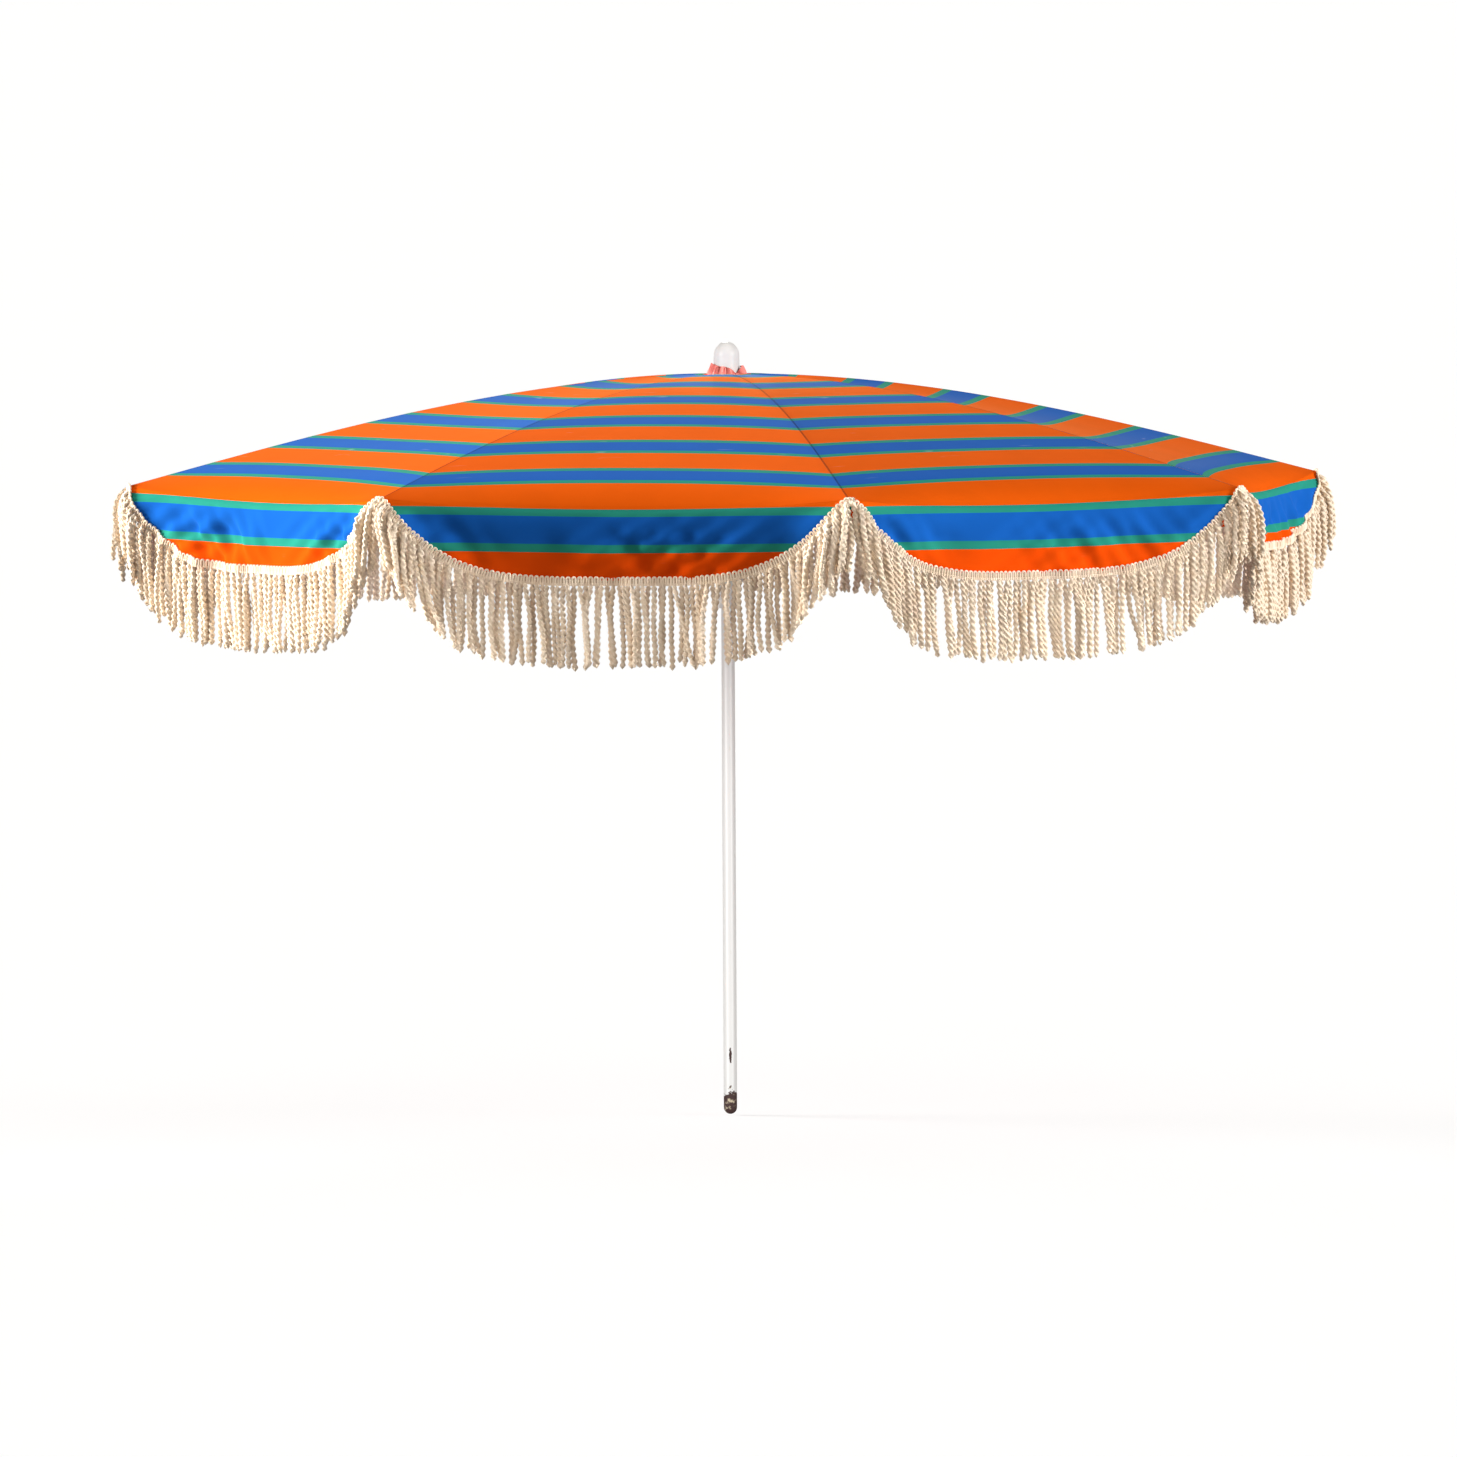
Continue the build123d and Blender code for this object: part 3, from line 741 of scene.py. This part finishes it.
def cords_piece(k, angle, path, travelled, rng):
    """The fringe: cords that hang in loose bunches from the foot of the braid."""
    count = int(travelled[-1] / CORD_PITCH)
    d = (np.arange(count) + 0.5) * travelled[-1] / count
    behind = np.arange(0.004, BEHIND_TIP, CORD_PITCH * 0.9)
    d = np.concatenate([d, behind, travelled[-1] - behind])
    tops = at_distance(path, travelled, d)
    tops[:, 2] -= LOOP_HEIGHT - 0.001
    usual = CORD_LENGTH * PANEL_SHAPES[k][4]
    parts = []
    bunch_end = 0
    for i in range(len(d)):
        from_rib = min(d[i], travelled[-1] - d[i])
        beside = beside_rib(from_rib)
        away = -np.sign(tops[i, 1])
        if i >= bunch_end:
            bunch_size = int(rng.integers(1, 6))
            bunch_end = min(i + bunch_size, count) if i < count else i + 1
            bunch_y = tops[i:bunch_end, 1].mean()
            bunch_lean = rng.normal(0, BUNCH_LEAN)
            pull = rng.uniform(*BUNCH_PULL)
        lean = bunch_lean + rng.normal(0, OWN_LEAN)
        if rng.random() < STRAY_SHARE:
            lean += rng.normal(0, STRAY_LEAN)
        in_front = i < count
        splay = away * CORD_SPLAY * np.exp(-((from_rib / SPLAY_WIDTH) ** 2)) * (1 if in_front else 0.2)
        lean = lean * (1 - 0.5 * beside) + splay + CORD_DRIFT
        toward = (bunch_y - tops[i, 1]) * pull * (1 - 0.8 * beside)
        bend = rng.normal(0, CORD_BEND)

        def sway(s, lean=lean, toward=toward, bend=bend):
            return lean * s**1.4 + toward * np.sin(s * pi / 2) ** 2 + bend * np.sin(pi * s)

        depth = rng.normal(0.0, CORD_DEPTH)
        length = usual * (1 - TIP_SHORTER * beside) + rng.normal(0, LENGTH_SPREAD)
        stand = CORD_STAND * beside * (rng.uniform(0.55, 1.1) if in_front else 0.35)
        rib_turn = HALF_STEP * beside
        outward = (stand * cos(rib_turn), -away * stand * sin(rib_turn))
        row = (i % 2) * 2 * FRONT_ROWS - FRONT_ROWS if in_front else BACK_ROW
        start = tops[i] + np.array([row, 0, TIP_LIFT * beside])
        parts.append(cord(start, length, sway, depth, outward, rng.uniform(*STRAND_R), rng))
    verts, faces = joined(parts)
    obj = make_mesh(f"cords_{k}", turned(verts, angle), faces, MAT_CORD)
    attach(obj, f"skirt_{k}", f"fringe_{k}")
    fold_flat(obj)


def rib_tape(k, angle):
    """A strip of the same cloth under the seam, between the panels and the rib."""
    rows = 90
    m = np.linspace(0.03, RIM_X - 0.012, rows)
    points = np.zeros((rows, len(TAPE_OFFSETS), 3))
    for j, offset in enumerate(TAPE_OFFSETS):
        v = 1 - np.abs(offset) / (m * tan(HALF_STEP))
        side = 1 if offset > 0 else -1
        panel = k if side > 0 else (k - 2) % PANELS + 1
        one = roof_point(m, v * -side, panel)
        points[:, j] = turned(one, side * HALF_STEP)
    points[..., 2] -= TAPE_DROP
    along = np.broadcast_to((m - stripe_shift(m, 1))[:, None], points.shape[:2])
    no_seam = np.full(along.size, 1.0)
    data = {"along": along.ravel(), "across": points[..., 1].ravel(), "edge": no_seam}
    faces = grid_faces(rows, len(TAPE_OFFSETS))
    obj = make_mesh(f"rib_tape_{k}", turned(points.reshape(-1, 3), angle), faces, MAT_CLOTH, data)
    attach(obj, f"rib_{k}")


def gather_piece():
    """Thin cloth gathered round the foot of the finial: two rows of sharp upright folds."""
    rng = np.random.default_rng(11)
    foot_z = RIM_Z + CANOPY_RISE - 0.0025
    creases = GATHER_CREASES
    up = np.linspace(0, 1, 6)[:, None]
    parts, shades = [], []
    for layer in range(2):
        number = np.arange(creases)
        outer = number % 2
        turn = (number + 0.5 * layer + rng.uniform(-0.28, 0.28, creases)) * 360 / creases
        from_front = (turn + 180) % 360 - 180
        height = np.interp(from_front, *zip(*GATHER_PROFILE)) * (0.86 + 0.2 * outer) * (1 - 0.25 * layer)
        height += 0.0022 + rng.uniform(-0.0008, 0.0012, creases)
        foot = 0.0335 + 0.0012 * outer - 0.001 * layer
        top = 0.0224 + 0.0050 * outer * np.clip(height / 0.015, 0, 1) + rng.uniform(0, 0.0008, creases)
        theta = GATHER_FRONT + np.radians(turn) + radians(5) * up * rng.uniform(-1, 1, creases)
        radius = foot + (top - foot) * up**0.75 + 0.0014 * outer * np.sin(pi * up)
        ring = np.stack([radius * np.cos(theta), radius * np.sin(theta), foot_z + height * up], -1)
        parts.append((ring.reshape(-1, 3), grid_faces(len(up), creases, closed=True)))
        # painted shade per crease: inner creases dark, outer ones light
        shades.append(np.broadcast_to(0.25 + 0.6 * outer, radius.shape).ravel())
    verts, faces = joined(parts)
    shade = {"fold_shade": np.concatenate(shades)}
    obj = make_mesh("gather_ruffle", verts, faces, MAT_GATHER, shade, smooth=False)
    attach(obj, "root", "gather_collar")


for k in range(1, PANELS + 1):
    rib_angle = STEP * (k - 1)
    panel_angle = rib_angle + HALF_STEP
    rng = np.random.default_rng(100 + k)
    roof_piece(k, panel_angle)
    columns, hanging = valance_piece(k, panel_angle, rng)
    path, travelled = hem_path(k, columns, hanging)
    braid_piece(k, panel_angle, path, travelled)
    cords_piece(k, panel_angle, path, travelled, rng)
    rib_tape(k, rib_angle)
    tip_braid(k, rib_angle)
gather_piece()

# ---------------------------------------------------------------- finishes of the hard parts
FINISHES = {
    "pole_tube": MAT_POLE,
    "finial_cap": MAT_CAP,
    "crown_hub": MAT_RUNNER,
    "runner": MAT_RUNNER,
    "rib_rivet": MAT_STEEL,
    "rib": MAT_RIB,
    "stretcher": MAT_RIB,
}
for name, cad in frame["nodes"].items():
    family = name.rstrip("0123456789").rstrip("_")
    finish = FINISHES.get(name) or FINISHES.get(family) or MAT_STEEL
    cad.data.materials.clear()
    cad.data.materials.append(finish)


# ---------------------------------------------------------------- floor, light, camera
def floor():
    side, z = 600, -0.002
    corners = [(-side, -side, z), (side, -side, z), (side, side, z), (-side, side, z)]
    material, tree, shader = new_material("floor_paper", roughness=0.9, specular=0.0)
    tint = mix_colour(tree, noise(tree, 0.4, 2.0), (0.35, 0.35, 0.35), (0.345, 0.345, 0.343))
    tree.links.new(tint, shader.inputs["Base Color"])
    shader.inputs["Emission Color"].default_value = (1, 1, 1, 1)
    shader.inputs["Emission Strength"].default_value = 0.62
    made = make_mesh("floor", corners, [(0, 1, 2, 3)], material, smooth=False)
    made.visible_diffuse = False
    made.visible_glossy = False


def sun(name, azimuth, elevation, strength, spread, colour=(1, 1, 1)):
    """azimuth is measured like the camera's: 0 in front, positive to the right of the picture."""
    a = CAMERA_AZIMUTH + azimuth
    toward = Vector((sin(a) * cos(elevation), -cos(a) * cos(elevation), sin(elevation)))
    data = bpy.data.lights.new(name, "SUN")
    data.energy = strength
    data.angle = spread
    data.color = colour
    lamp = bpy.data.objects.new(name, data)
    lamp.location = toward * 5
    lamp.rotation_euler = (-toward).to_track_quat("-Z", "Y").to_euler()
    bpy.context.scene.collection.objects.link(lamp)
    return lamp


def beam(name, azimuth, aim_z, height, energy, spread, softness):
    """A narrow beam at one height of the pole; azimuth is measured as for the suns."""
    data = bpy.data.lights.new(name, "SPOT")
    data.energy = energy
    data.spot_size = spread
    data.spot_blend = 0.6
    data.shadow_soft_size = softness
    lamp = bpy.data.objects.new(name, data)
    a = CAMERA_AZIMUTH + azimuth
    lamp.location = (4 * sin(a), -4 * cos(a), height)
    toward = Vector((0, 0, aim_z)) - lamp.location
    lamp.rotation_euler = toward.to_track_quat("-Z", "Y").to_euler()
    bpy.context.scene.collection.objects.link(lamp)


def pole_beam(label, azimuth, energy, spread):
    name = f"pole_beam_{label}"
    beam(name, azimuth, aim_z=0.28, height=0.36, energy=energy, spread=spread, softness=0.3)


def finial_beam(label, azimuth):
    name = f"finial_beam_{label}"
    beam(name, azimuth, aim_z=1.265, height=2.00, energy=480, spread=radians(2.4), softness=0.01)


def pieces_of(families, numbers):
    return [bpy.data.objects[f"{family}_{k}"] for family in families for k in numbers]


def link_light(lamp, objects, state):
    """INCLUDE: the lamp lights only these objects. EXCLUDE: it lights everything but these."""
    group = bpy.data.collections.new(f"linked_{lamp.name}")
    for obj in objects:
        group.objects.link(obj)
    for entry in group.collection_objects:
        entry.light_linking.link_state = state
    lamp.light_linking.receiver_collection = group


def world():
    """Even light all round, which the camera sees as white paper."""
    made = bpy.data.worlds.new("studio")
    made.use_nodes = True
    tree = made.node_tree
    back = tree.nodes["Background"]
    seen = tree.nodes.new("ShaderNodeLightPath").outputs["Is Camera Ray"]
    tree.links.new(mix_colour(tree, seen, (1.0, 0.965, 0.92), (1.0, 1.0, 1.0)), back.inputs["Color"])
    strength = math_node(tree, "MULTIPLY_ADD", seen, 1.0 - AMBIENT, AMBIENT)
    tree.links.new(strength, back.inputs["Strength"])
    bpy.context.scene.world = made


floor()
world()
key = sun("key_left", KEY_AZIMUTH, KEY_ELEVATION, 12.0, KEY_SPREAD, KEY_COLOUR)
back_key = sun("key_back", KEY_AZIMUTH, KEY_ELEVATION, 6.0, KEY_SPREAD, KEY_COLOUR)
fill = sun("fill_right", radians(75), radians(10), 3.9, radians(25))
fringe_light = sun("fringe_light", radians(-45), radians(15), 0.85, radians(40), (1.0, 0.93, 0.86))
plain_white = [frame["nodes"]["finial_cap"], frame["nodes"]["pole_tube"]]
facing_key = pieces_of(("cloth_valance", "braid", "cords"), (3, 4))
front_fringe = pieces_of(("braid", "cords", "tip_braid"), (6, 7))
link_light(key, plain_white + facing_key, "EXCLUDE")
link_light(back_key, facing_key, "INCLUDE")
link_light(fill, plain_white, "EXCLUDE")
link_light(fringe_light, front_fringe, "INCLUDE")
for side in (-1, 1):
    pole_beam(side, side * radians(45), 320 - 60 * side, radians(19))
    finial_beam(side, side * radians(55))
pole_beam("back", pi, 320, radians(12))
finial_beam("back", pi)

camera_data = bpy.data.cameras.new("camera")
camera_data.lens = CAMERA_LENS
camera_data.sensor_width = 36
camera_data.clip_end = 2000
camera = bpy.data.objects.new("camera", camera_data)
camera.location = (
    CAMERA_DISTANCE * sin(CAMERA_AZIMUTH),
    -CAMERA_DISTANCE * cos(CAMERA_AZIMUTH),
    CAMERA_Z,
)
aim = Vector((0, 0, CAMERA_AIM_Z)) - camera.location
camera.rotation_euler = (aim.to_track_quat("-Z", "Y") @ Quaternion((0, 0, 1), CAMERA_ROLL)).to_euler()
bpy.context.scene.collection.objects.link(camera)
bpy.context.scene.camera = camera
bpy.context.scene.view_settings.view_transform = "Standard"
